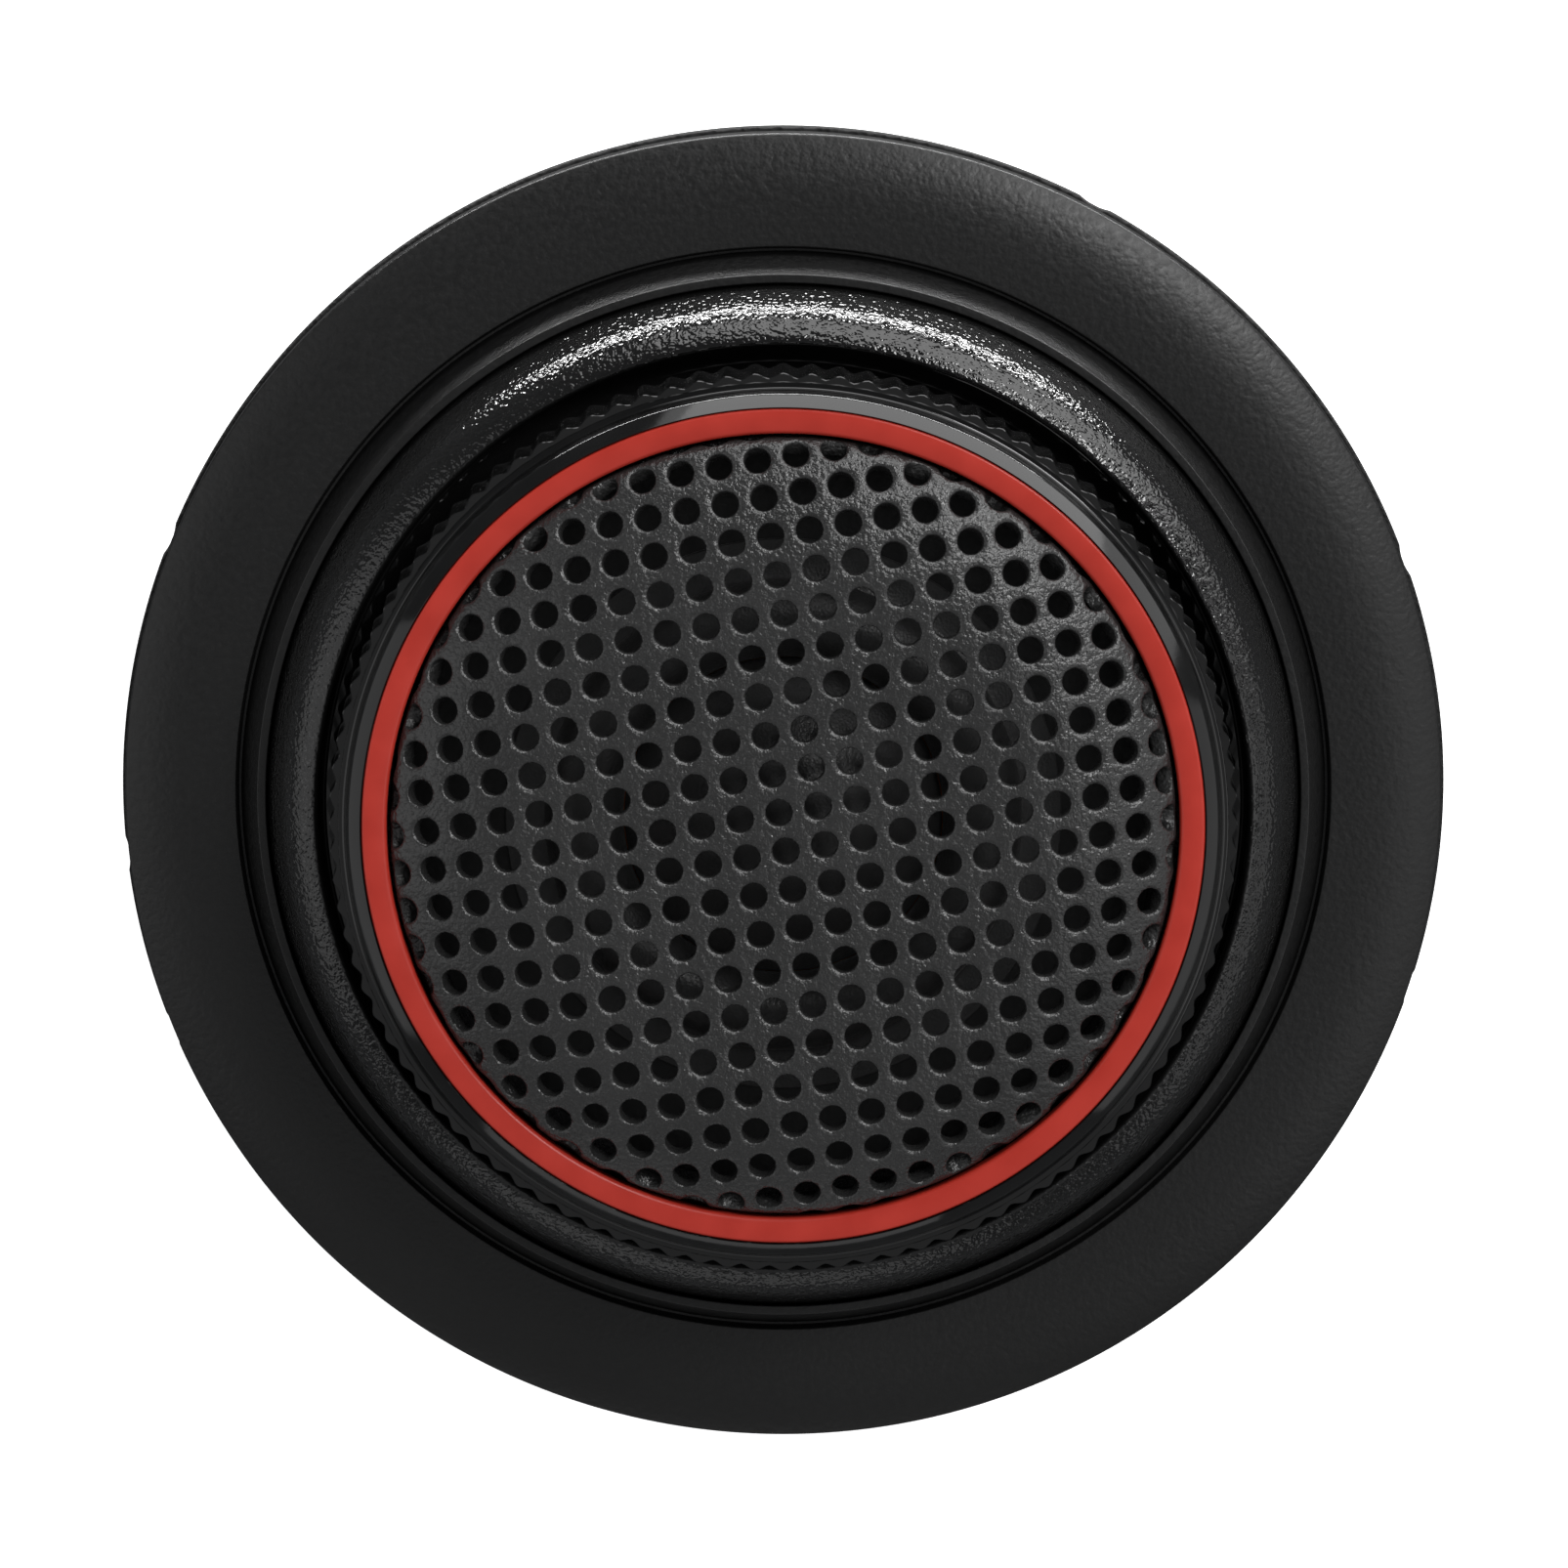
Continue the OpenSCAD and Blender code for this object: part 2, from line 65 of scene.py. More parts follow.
def node_radius(node):
    """Half of the node's width along Y, which no bayonet lug or offset widens."""
    low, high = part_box(node)
    return (high.y - low.y) / 2 / MM


FLANGE_R = node_radius("mount_cup")
RIM_Z = node_top("mount_cup")
BARREL_LOW_Z = node_low("mount_cup")
GASKET_R = node_radius("panel_gasket")
GASKET_T = node_top("panel_gasket")
BALL_R = node_radius("swivel_ball")
BALL_TOP_Z = node_top("swivel_ball")
BALL_LOW_Z = node_low("swivel_ball")
FRONT_Z = node_top("knurled_bezel")
BEZEL_LOW_Z = node_low("knurled_bezel")
TIP_R = node_radius("knurled_bezel")
ACCENT_R = node_radius("accent_ring")
ACCENT_LOW_Z = node_low("accent_ring")
GRILLE_TOP_Z = node_top("grille")
GRILLE_FOOT_Z = node_low("grille")
GRILLE_FOOT_R = node_radius("grille")
CAPSULE_R = node_radius("capsule_body")
LIP_R = TIP_R + 0.6

# Grille sheet: radius of its wall, thickness, and the square pattern of holes
GRILLE_R = GRILLE_FOOT_R - 0.75
SHEET_T = 0.7
HOLE_R = 0.54
HOLE_EDGE_W = 0.2
HOLE_EDGE_H = 0.11
HOLE_PITCH = 1.58
HOLE_TURN = math.radians(9.85)
HOLE_SHIFT = Vector((-0.17, 0.85))
HOLE_SEGMENTS = 24
HOLE_KEEP_R = 17.1
HOLE_ROWS = 13

# Grille sheet's profile: flat top, curved shoulder, bend down to the wall, foot
DOME_FLAT_R = 10.2
DOME_CURVE_R = 11.0
EDGE_BEND_R = 0.75
FOOT_BEND_R = 0.15

JOINTS = {joint["name"]: joint for joint in frame["joints"]}
BALL_Z = JOINTS["tilt_x"]["pos_m"][2] / MM


# ---------------------------------------------------------------- camera

CAMERA_TILT = math.radians(8.6)
CAMERA_DISTANCE = 500 * MM
SENSOR_WIDTH = 36
VIEW_WIDTH = 64.3 * MM
AIM = Vector((0.03, 0.24, 2.1)) * MM

camera_data = bpy.data.cameras.new("camera")
camera_data.sensor_width = SENSOR_WIDTH
camera_data.lens = SENSOR_WIDTH * CAMERA_DISTANCE / VIEW_WIDTH
camera_data.clip_start = 0.01
camera_data.clip_end = 10
camera = bpy.data.objects.new("camera", camera_data)
bpy.context.scene.collection.objects.link(camera)
bpy.context.scene.camera = camera
camera_side = Vector((0, math.sin(CAMERA_TILT), math.cos(CAMERA_TILT)))
camera.location = AIM + camera_side * CAMERA_DISTANCE
camera.rotation_euler = (-CAMERA_TILT, 0, 0)


# ---------------------------------------------------------------- materials

class Surface:
    """A Principled material whose colour, roughness and bump come from procedural textures."""

    def __init__(self, name, **sockets):
        self.material = bpy.data.materials.new(name)
        self.material.use_nodes = True
        self.tree = self.material.node_tree
        self.shader = self.tree.nodes["Principled BSDF"]
        self.place = self.tree.nodes.new("ShaderNodeTexCoord").outputs["Object"]
        for socket, value in sockets.items():
            self.shader.inputs[socket.replace("_", " ")].default_value = value

    def node(self, kind, links=(), **settings):
        made = self.tree.nodes.new(kind)
        for setting, value in settings.items():
            setattr(made, setting, value)
        for socket, source in links:
            if isinstance(source, bpy.types.NodeSocket):
                self.tree.links.new(source, made.inputs[socket])
            else:
                made.inputs[socket].default_value = source
        return made

    def noise(self, size_mm, detail=2.0, roughness=0.5):
        """Cloudy noise whose blobs are about size_mm across, from 0 to 1."""
        links = [
            ("Vector", self.place), ("Scale", 0.5 / (size_mm * MM)),
            ("Detail", detail), ("Roughness", roughness),
        ]
        return self.node("ShaderNodeTexNoise", links).outputs["Fac"]

    def cells(self, size_mm):
        """Distance to scattered points about size_mm apart."""
        links = [("Vector", self.place), ("Scale", 1 / (size_mm * MM))]
        return self.node("ShaderNodeTexVoronoi", links).outputs["Distance"]

    def spread(self, factor, from_low, from_high, low, high):
        """Maps one range of values onto another, clamped at both ends."""
        links = [
            ("Value", factor), ("From Min", from_low), ("From Max", from_high),
            ("To Min", low), ("To Max", high),
        ]
        return self.node("ShaderNodeMapRange", links).outputs["Result"]

    def axis_distance(self):
        """Distance from the object's axis, in metres."""
        links = [(0, self.place), (1, (1, 1, 0))]
        flat = self.node("ShaderNodeVectorMath", links, operation="MULTIPLY").outputs["Vector"]
        return self.node("ShaderNodeVectorMath", [(0, flat)], operation="LENGTH").outputs["Value"]

    def colour(self, factor, dark, light):
        ramp = self.node("ShaderNodeValToRGB", [("Fac", factor)])
        ramp.color_ramp.elements[0].position = 0.3
        ramp.color_ramp.elements[1].position = 0.7
        ramp.color_ramp.elements[0].color = (*dark, 1)
        ramp.color_ramp.elements[1].color = (*light, 1)
        self.tree.links.new(ramp.outputs["Color"], self.shader.inputs["Base Color"])

    def rough(self, factor, low, high):
        result = self.spread(factor, 0.3, 0.7, low, high)
        self.tree.links.new(result, self.shader.inputs["Roughness"])

    def bump(self, *layers):
        """Stacks (height, depth in mm) layers of relief."""
        normal = None
        for height, depth_mm in layers:
            links = [("Height", height), ("Distance", depth_mm * MM), ("Strength", 1.0)]
            if normal:
                links.append(("Normal", normal))
            normal = self.node("ShaderNodeBump", links).outputs["Normal"]
        self.tree.links.new(normal, self.shader.inputs["Normal"])


def grey(value, warmth=0.0):
    """Grey of a linear value. Warmth adds that share to red and takes it from blue."""
    return (value * (1 + warmth), value, value * (1 - warmth))


def moulded_black():
    """Matte black plastic with a fine leather-like grain."""
    skin = Surface("moulded_black", IOR=1.45, Specular_IOR_Level=0.45)
    grain = skin.noise(0.13, detail=1.5)
    skin.colour(skin.noise(6), grey(0.0035), grey(0.005))
    skin.rough(grain, 0.36, 0.46)
    skin.bump((grain, 0.024), (skin.noise(0.4), 0.009))
    return skin.material


def bead_black():
    """Gloss black with a pronounced orange-peel skin outside and a smooth bore."""
    skin = Surface("bead_black", IOR=1.5, Specular_IOR_Level=0.5)
    outside = skin.spread(skin.axis_distance(), (LIP_R + 0.02) * MM, (LIP_R + 0.25) * MM, 0, 1)
    grain = skin.noise(0.1, detail=1)
    peel_node = skin.node("ShaderNodeMath", [(0, grain), (1, outside)], operation="MULTIPLY")
    peel = peel_node.outputs["Value"]
    skin.colour(skin.noise(3), grey(0.004), grey(0.006))
    skin.rough(peel, 0.04, 0.08)
    skin.bump((peel, 0.058))
    return skin.material


def bezel_black():
    """Smooth gloss black with faint mould flow marks."""
    skin = Surface("bezel_black", IOR=1.5, Specular_IOR_Level=0.5)
    flow = skin.noise(1.5, detail=3)
    skin.colour(flow, grey(0.0025), grey(0.004))
    skin.rough(flow, 0.06, 0.13)
    skin.bump((flow, 0.006), (skin.noise(0.2), 0.001))
    return skin.material


def accent_red():
    """Satin red paint with slight mottle."""
    skin = Surface("accent_red", IOR=1.45, Specular_IOR_Level=0.4)
    mottle = skin.noise(0.9, detail=3)
    skin.colour(mottle, (0.38, 0.026, 0.016), (0.44, 0.032, 0.02))
    skin.rough(mottle, 0.3, 0.4)
    skin.bump((skin.noise(0.25), 0.003))
    return skin.material


def grille_powder():
    """Black powder coat: soft fine bumps, slightly uneven sheen."""
    skin = Surface("grille_powder", IOR=1.5, Specular_IOR_Level=0.5)
    grit = skin.noise(0.09, detail=2)
    skin.colour(skin.noise(2.5), grey(0.016), grey(0.022))
    skin.rough(grit, 0.2, 0.32)
    skin.bump((grit, 0.075), (skin.noise(0.35), 0.03))
    return skin.material


def foam_black():
    """Closed-cell foam with small pores."""
    skin = Surface("foam_black", Specular_IOR_Level=0.3)
    pores = skin.cells(0.25)
    skin.colour(pores, grey(0.004), grey(0.016))
    skin.rough(pores, 0.8, 0.95)
    skin.bump((pores, 0.08))
    return skin.material


def rubber_black():
    """Soft matte rubber with a faint bloom."""
    skin = Surface("rubber_black", Specular_IOR_Level=0.4)
    bloom = skin.noise(1.2, detail=4)
    skin.colour(bloom, grey(0.01), grey(0.016))
    skin.rough(bloom, 0.5, 0.7)
    skin.bump((skin.noise(0.15), 0.006))
    return skin.material


def nylon_white():
    """Milky moulded nylon."""
    skin = Surface("nylon_white", IOR=1.53, Subsurface_Weight=0.1, Subsurface_Scale=0.001)
    cloud = skin.noise(2, detail=3)
    skin.colour(cloud, (0.62, 0.6, 0.53), (0.7, 0.68, 0.61))
    skin.rough(cloud, 0.35, 0.5)
    skin.bump((skin.noise(0.3), 0.004))
    return skin.material


def metal(name, dark, light, rough_low, rough_high):
    """Worked metal with uneven polish."""
    skin = Surface(name, Metallic=1.0)
    polish = skin.noise(1.2, detail=5, roughness=0.65)
    skin.colour(polish, dark, light)
    skin.rough(polish, rough_low, rough_high)
    skin.bump((skin.noise(0.2, detail=3), 0.003))
    return skin.material


def coated_silk():
    """Woven silk diaphragm under a dark damping coat."""
    skin = Surface("coated_silk", IOR=1.45, Sheen_Weight=0.15, Sheen_Roughness=0.4)
    weave = skin.cells(0.12)
    skin.colour(skin.noise(1), grey(0.026), grey(0.034))
    skin.rough(weave, 0.32, 0.45)
    skin.bump((weave, 0.012), (skin.noise(1.2), 0.02))
    return skin.material


def wool_felt():
    """Grey-brown felt with fine fibres."""
    skin = Surface("wool_felt", Sheen_Weight=0.5)
    fibre = skin.noise(0.12, detail=6, roughness=0.7)
    skin.colour(fibre, (0.1, 0.09, 0.08), (0.2, 0.18, 0.16))
    skin.rough(fibre, 0.85, 1.0)
    skin.bump((fibre, 0.06))
    return skin.material


def coil_film():
    """Amber polyimide film."""
    skin = Surface("coil_film", IOR=1.6, Coat_Weight=0.3)
    stain = skin.noise(0.8, detail=3)
    skin.colour(stain, (0.42, 0.2, 0.05), (0.55, 0.3, 0.08))
    skin.rough(stain, 0.2, 0.35)
    skin.bump((skin.noise(0.2), 0.002))
    return skin.material


def phenolic_board():
    """Brown resin-bonded paper."""
    skin = Surface("phenolic_board", IOR=1.5)
    paper = skin.noise(0.3, detail=6, roughness=0.7)
    skin.colour(paper, (0.1, 0.045, 0.015), (0.17, 0.08, 0.03))
    skin.rough(paper, 0.35, 0.5)
    skin.bump((paper, 0.006))
    return skin.material


MATERIALS = {
    "cup_plastic": moulded_black(),
    "gasket_foam": foam_black(),
    "nylon": nylon_white(),
    "spring_steel": metal("spring_steel", grey(0.3), grey(0.42), 0.25, 0.4),
    "brass": metal("brass", (0.6, 0.42, 0.17), (0.75, 0.55, 0.25), 0.2, 0.38),
    "rubber": rubber_black(),
    "bead_gloss": bead_black(),
    "bezel_gloss": bezel_black(),
    "accent_red": accent_red(),
    "grille_black": grille_powder(),
    "silk": coated_silk(),
    "copper": metal("copper", (0.45, 0.15, 0.05), (0.65, 0.26, 0.1), 0.25, 0.4),
    "former": coil_film(),
    "plated_steel": metal("plated_steel", grey(0.4), grey(0.52), 0.25, 0.45),
    "magnet_nickel": metal("magnet_nickel", grey(0.5), grey(0.6), 0.15, 0.3),
    "felt": wool_felt(),
    "board": phenolic_board(),
    "tinned_brass": metal("tinned_brass", grey(0.5, 0.03), grey(0.65, 0.03), 0.25, 0.4),
}

NODE_SLOT = {part["node"]: part["material_slot"] for part in frame["record"]["subparts"]}


# ---------------------------------------------------------------- mesh helpers

# Facets round the large turned pieces, the small ones and the notched gasket
ROUND_SEGMENTS = 384
SMALL_SEGMENTS = 192
GASKET_SEGMENTS = 720


def make_piece(name, verts_mm, faces, body, node, sharp_degrees=38):
    """Builds a mesh piece that stands for a CAD node and shares its slot and body."""
    mesh = bpy.data.meshes.new(name)
    mesh.from_pydata([(x * MM, y * MM, z * MM) for x, y, z in verts_mm], [], faces)
    mesh.validate()
    mesh.shade_smooth()
    mesh.set_sharp_from_angle(angle=math.radians(sharp_degrees))
    mesh.materials.append(MATERIALS[NODE_SLOT[node]])
    piece = bpy.data.objects.new(name, mesh)
    bpy.context.scene.collection.objects.link(piece)
    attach(piece, body)
    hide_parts(node)
    return piece


def arc(r, z, radius, start, end, step=3.0):
    """Points along an arc about (r, z), angles in degrees."""
    count = max(1, math.ceil(abs(end - start) / step))
    angles = [math.radians(start + (end - start) * i / count) for i in range(count + 1)]
    return [(r + radius * math.cos(a), z + radius * math.sin(a)) for a in angles]


def rounded(corners, step=12.0):
    """Closed outline with each (r, z, fillet radius) corner rounded by an arc."""
    outline = []
    count = len(corners)
    for i, (r, z, fillet) in enumerate(corners):
        here = Vector((r, z))
        if not fillet:
            outline.append((r, z))
            continue
        back = (Vector(corners[i - 1][:2]) - here).normalized()
        ahead = (Vector(corners[(i + 1) % count][:2]) - here).normalized()
        half = back.angle(ahead) / 2
        centre = here + (back + ahead).normalized() * fillet / math.sin(half)
        start = here + back * fillet / math.tan(half) - centre
        end = here + ahead * fillet / math.tan(half) - centre
        turn = start.angle_signed(end)
        steps = max(2, math.ceil(math.degrees(abs(turn)) / step))
        for k in range(steps + 1):
            angle = math.atan2(start.y, start.x) - turn * k / steps
            r = centre.x + fillet * math.cos(angle)
            outline.append((r, centre.y + fillet * math.sin(angle)))
    return outline


def ring_faces(rings):
    """Quads between neighbouring closed rings of vertex numbers.

    A ring that repeats one number is a tip.
    """
    faces = []
    for lower, upper in zip(rings, rings[1:]):
        for k in range(len(lower)):
            n = (k + 1) % len(lower)
            corners = dict.fromkeys((lower[k], lower[n], upper[n], upper[k]))
            if len(corners) > 2:
                faces.append(tuple(corners))
    return faces


def lathe(outline, segments, reach=None):
    """Revolves a closed outline that runs anticlockwise in (r, z). Returns vertices and faces.

    reach(point, angle) may change a point's radius with the angle.
    """
    verts = []
    rings = []
    for point in outline:
        if point[0] == 0:
            rings.append([len(verts)] * segments)
            verts.append((0, 0, point[1]))
            continue
        rings.append(range(len(verts), len(verts) + segments))
        for k in range(segments):
            angle = 2 * math.pi * k / segments
            r = reach(point, angle) if reach else point[0]
            verts.append((r * math.cos(angle), r * math.sin(angle), point[1]))
    return verts, ring_faces(rings + rings[:1])


# ---------------------------------------------------------------- cup, gasket and ball ring

FLANGE_FACE_Z = GASKET_T + 1.8
FLANGE_DROP = 0.68
FLANGE_W = 4.6
FLANGE_IN_R = FLANGE_R - FLANGE_W
CROWN_POWER = 3.2
CROWN_STEPS = 20
CROWN_SHARE = 0.95
GROOVE_Z = FLANGE_FACE_Z - 0.55
RIM_T = 0.4
SHOULDER_W = 0.2
SNAP_GAP = 0.05
SNAP_DEPTH = 0.5
LINER_R = node_radius("swivel_liner")
SEAT_R = LINER_R + 0.05
BARREL_R = SEAT_R + 1.3
LIP_SEAT_R = BALL_R + 0.1
LIP_ZONE_Z = GASKET_T + 0.8


def sphere_point_angle(radius, z):
    """Angle above the ball's equator at which a sphere about its centre reaches a height."""
    return math.degrees(math.asin((z - BALL_Z) / radius))


def ball_arc(radius, start, end):
    """Sharp corners along a sphere about the ball's centre."""
    return [(r, z, 0) for r, z in arc(0, BALL_Z, radius, start, end)]


def make_cup():
    """Barrel, crowned flange, groove and the thin rim that holds the ball."""
    rim_in_r = math.sqrt(LIP_SEAT_R ** 2 - (RIM_Z - BALL_Z) ** 2)
    rim_out_r = rim_in_r + RIM_T
    snap_low_z = node_low("retaining_ring") - SNAP_GAP
    snap_top_z = node_top("retaining_ring") + SNAP_GAP
    crown = []
    for k in range(1, CROWN_STEPS):
        share = CROWN_SHARE * (1 - k / CROWN_STEPS)
        z = FLANGE_FACE_Z - FLANGE_DROP * share ** CROWN_POWER
        crown.append((FLANGE_IN_R + FLANGE_W * share, z, 0))
    outline = rounded([
        (BARREL_R, 0, 0.05),
        (BARREL_R + SHOULDER_W, 0, 0.05),
        (BARREL_R + SHOULDER_W, GASKET_T, 0.1),
        (FLANGE_R, GASKET_T, 0.12),
        (FLANGE_R, FLANGE_FACE_Z - FLANGE_DROP, 0.16),
        *crown,
        (FLANGE_IN_R + 0.02, FLANGE_FACE_Z, 0.07),
        (FLANGE_IN_R - 0.06, GROOVE_Z, 0.05),
        (FLANGE_IN_R - 0.2, GROOVE_Z, 0.05),
        (rim_out_r, RIM_Z, 0.05),
        (rim_in_r + 0.03, RIM_Z, 0.06),
        *ball_arc(LIP_SEAT_R, 15.5, sphere_point_angle(LIP_SEAT_R, LIP_ZONE_Z)),
        *ball_arc(SEAT_R, sphere_point_angle(SEAT_R, LIP_ZONE_Z), 0),
        (SEAT_R, snap_top_z, 0.05),
        (SEAT_R + SNAP_DEPTH, snap_top_z, 0.05),
        (SEAT_R + SNAP_DEPTH, snap_low_z, 0.05),
        (SEAT_R, snap_low_z, 0.05),
        (SEAT_R, BARREL_LOW_Z, 0.15),
        (BARREL_R - 0.4, BARREL_LOW_Z, 0.1),
        (BARREL_R, BARREL_LOW_Z + 0.4, 0.1),
    ])
    return make_piece("flange_cup", *lathe(outline, ROUND_SEGMENTS), "cup", "mount_cup")


# Places of the gasket's small edge notches, in degrees
NOTCH_ANGLES = (20, 62, 158, 186, 202, 255, 318, 342)
NOTCH_HALF_WIDTH = 1.3
NOTCH_RAMP = 0.5
NOTCH_DEPTH = 0.1
GASKET_IN_R = BARREL_R + 0.5


def make_gasket():
    """Foam ring whose outer edge dips at each notch."""
    outline = rounded([
        (GASKET_IN_R, 0, 0.12),
        (GASKET_R, 0, 0.12),
        (GASKET_R, GASKET_T, 0.12),
        (GASKET_IN_R, GASKET_T, 0.12),
    ], step=30)

    def reach(point, angle):
        if point[0] < FLANGE_R - 0.5:
            return point[0]
        turns = [(math.degrees(angle) - notch + 180) % 360 - 180 for notch in NOTCH_ANGLES]
        inside = NOTCH_HALF_WIDTH - min(abs(turn) for turn in turns)
        return point[0] - NOTCH_DEPTH * max(0, min(1, inside / NOTCH_RAMP))

    return make_piece("foam_gasket", *lathe(outline, GASKET_SEGMENTS, reach), "cup", "panel_gasket")


ROLL_R = 2.5
SKIRT_T = 2
SHELF_W = 2.5
SHELF_T = 1.6
BALL_BORE_R = CAPSULE_R + 0.08
BALL_STEP_Z = BEZEL_LOW_Z - 0.4
SHELF_Z = node_low("capsule_body") - 0.1


def make_ball_ring():
    """Swivelling ring: ball outside, rolled bead at the front, stepped bore inside."""
    low_angle = sphere_point_angle(BALL_R, BALL_LOW_Z)
    corner = Vector((LIP_R + 0.2, BALL_TOP_Z - BALL_Z))
    reach = BALL_R - ROLL_R
    swing = math.acos((reach ** 2 + corner.length_squared - ROLL_R ** 2) / (2 * reach * corner.length))
    roll_turn = math.atan2(corner.y, corner.x) - swing
    roll = Vector((math.cos(roll_turn), math.sin(roll_turn))) * reach
    lip_turn = math.atan2(corner.y - roll.y, corner.x - roll.x)
    roll_angle = math.degrees(roll_turn)
    bead = arc(roll.x, BALL_Z + roll.y, ROLL_R, roll_angle + 2, math.degrees(lip_turn), 2)
    skirt_in_r = BALL_R * math.cos(math.radians(low_angle)) - SKIRT_T
    outline = rounded([
        *ball_arc(BALL_R, low_angle, roll_angle),
        *[(r, z, 0) for r, z in bead],
        (LIP_R, BALL_TOP_Z + 0.05, 0.15),
        (LIP_R, BALL_STEP_Z, 0.3),
        (BALL_BORE_R, BALL_STEP_Z, 0.1),
        (BALL_BORE_R, SHELF_Z, 0.1),
        (CAPSULE_R - SHELF_W, SHELF_Z, 0.1),
        (CAPSULE_R - SHELF_W, SHELF_Z - SHELF_T, 0.1),
        (skirt_in_r, SHELF_Z - SHELF_T, 0.4),
        (skirt_in_r, BALL_LOW_Z, 0.2),
    ])
    return make_piece("ball_ring", *lathe(outline, ROUND_SEGMENTS), "ball", "swivel_ball")


# ---------------------------------------------------------------- capsule front

TEETH = 100
TOOTH_H = 0.24
TOOTH_EDGE = 0.036
BAND_TOP_Z = FRONT_Z - 1
BAND_LOW_Z = BAND_TOP_Z - 3.5
FRONT_R = ACCENT_R + 0.69
BEVEL_W = 0.44
BEVEL_H = 0.41
# Share of the tooth height at even steps along one tooth, with a slightly blunt tip
TOOTH_WAVE = (0.94, 0.8, 0.5, 0.2, 0.03, 0.2, 0.5, 0.8)


def make_bezel():
    """Toothed grip band with the glossy bevelled front ring.

    The last number of a row is the share of the tooth height that it shows.
    """
    valley_r = TIP_R - TOOTH_H
    bore_r = GRILLE_FOOT_R + 0.1
    skirt_r = bore_r + 0.85
    aperture_r = GRILLE_R + 0.2
    seat_top_z = GRILLE_FOOT_Z + SHEET_T
    bevel_out_r = ACCENT_R + 0.06 + BEVEL_W
    rows = [
        (bore_r, BEZEL_LOW_Z + 0.1, 0), (bore_r + 0.1, BEZEL_LOW_Z, 0),
        (skirt_r - 0.1, BEZEL_LOW_Z, 0), (skirt_r, BEZEL_LOW_Z + 0.1, 0),
        (skirt_r, BAND_LOW_Z - 0.15, 0), (skirt_r + 0.1, BAND_LOW_Z, 0),
        (valley_r - 0.12, BAND_LOW_Z, 0), (valley_r - TOOTH_EDGE, BAND_LOW_Z, 0.9),
        (valley_r, BAND_LOW_Z + TOOTH_EDGE, 1), (valley_r, BAND_TOP_Z - TOOTH_EDGE, 1),
        (valley_r - TOOTH_EDGE, BAND_TOP_Z, 1),
        (valley_r - 0.14, BAND_TOP_Z, 0.1), (valley_r - 0.16, BAND_TOP_Z + 0.05, 0),
        (valley_r - 0.2, BAND_TOP_Z + 0.06, 0),
    ]
    rows += [(r, z, 0) for r, z in arc(FRONT_R + 0.14, BAND_TOP_Z + 0.2, 0.14, 270, 180, 15)]
    rows += [(r, z, 0) for r, z in arc(bevel_out_r - 0.1, FRONT_Z - BEVEL_H - 0.1, 0.16, 0, 47, 8)]
    rows += [
        (ACCENT_R + 0.1, FRONT_Z - 0.04, 0), (ACCENT_R + 0.06, FRONT_Z - 0.01, 0),
        (ACCENT_R + 0.03, FRONT_Z - 0.04, 0), (ACCENT_R + 0.02, FRONT_Z - 0.1, 0),
        (ACCENT_R + 0.02, ACCENT_LOW_Z, 0), (aperture_r, ACCENT_LOW_Z, 0),
        (aperture_r, seat_top_z, 0), (bore_r, seat_top_z, 0),
    ]

    def reach(point, angle):
        step = round(angle / (2 * math.pi) * TEETH * len(TOOTH_WAVE))
        return point[0] + point[2] * TOOTH_H * TOOTH_WAVE[step % len(TOOTH_WAVE)]

    verts, faces = lathe(rows, TEETH * len(TOOTH_WAVE), reach)
    return make_piece("toothed_bezel", verts, faces, "capsule", "knurled_bezel", 20)


def make_accent():
    """Red ring with softly rounded edges and a slightly crowned face."""
    inner_r = GRILLE_R + 0.14
    outline = rounded([
        (inner_r, ACCENT_LOW_Z, 0.05),
        (ACCENT_R, ACCENT_LOW_Z, 0.05),
        (ACCENT_R, FRONT_Z - 0.04, 0.12),
        ((ACCENT_R + inner_r) / 2, FRONT_Z, 2.5),
        (inner_r, FRONT_Z - 0.1, 0.2),
    ], step=8)
    return make_piece("red_ring", *lathe(outline, ROUND_SEGMENTS), "capsule", "accent_ring")


# ---------------------------------------------------------------- grille

class SheetPath:
    """Outer face of the grille sheet, followed outwards as straight and bent stretches."""

    def __init__(self, top_z):
        self.here = Vector((0, top_z))
        self.heading = 0.0
        self.length = 0.0
        self.stretches = []

    def straight(self, length):
        self.stretches.append((self.length, length, self.here.copy(), self.heading, 0.0))
        self.here += length * Vector((math.cos(self.heading), math.sin(self.heading)))
        self.length += length

    def bend(self, radius, turn):
        """Turns the heading by an angle in radians, downwards where it is negative."""
        self.stretches.append((self.length, radius * abs(turn), self.here.copy(), self.heading, turn))
        middle = self.heading + turn / 2
        chord = 2 * radius * math.sin(abs(turn) / 2)
        self.here += chord * Vector((math.cos(middle), math.sin(middle)))
        self.heading += turn
        self.length += radius * abs(turn)

    def at(self, distance):
        """Point and outward normal at a distance along the path."""
        for start, length, origin, heading, turn in reversed(self.stretches):
            if distance >= start:
                break
        share = min((distance - start) / length, 1)
        swing = turn * share
        chord = length * share
        if swing:
            chord *= math.sin(swing / 2) / (swing / 2)
        middle = heading + swing / 2
        facing = heading + swing + math.pi / 2
        point = origin + chord * Vector((math.cos(middle), math.sin(middle)))
        return point, Vector((math.cos(facing), math.sin(facing)))


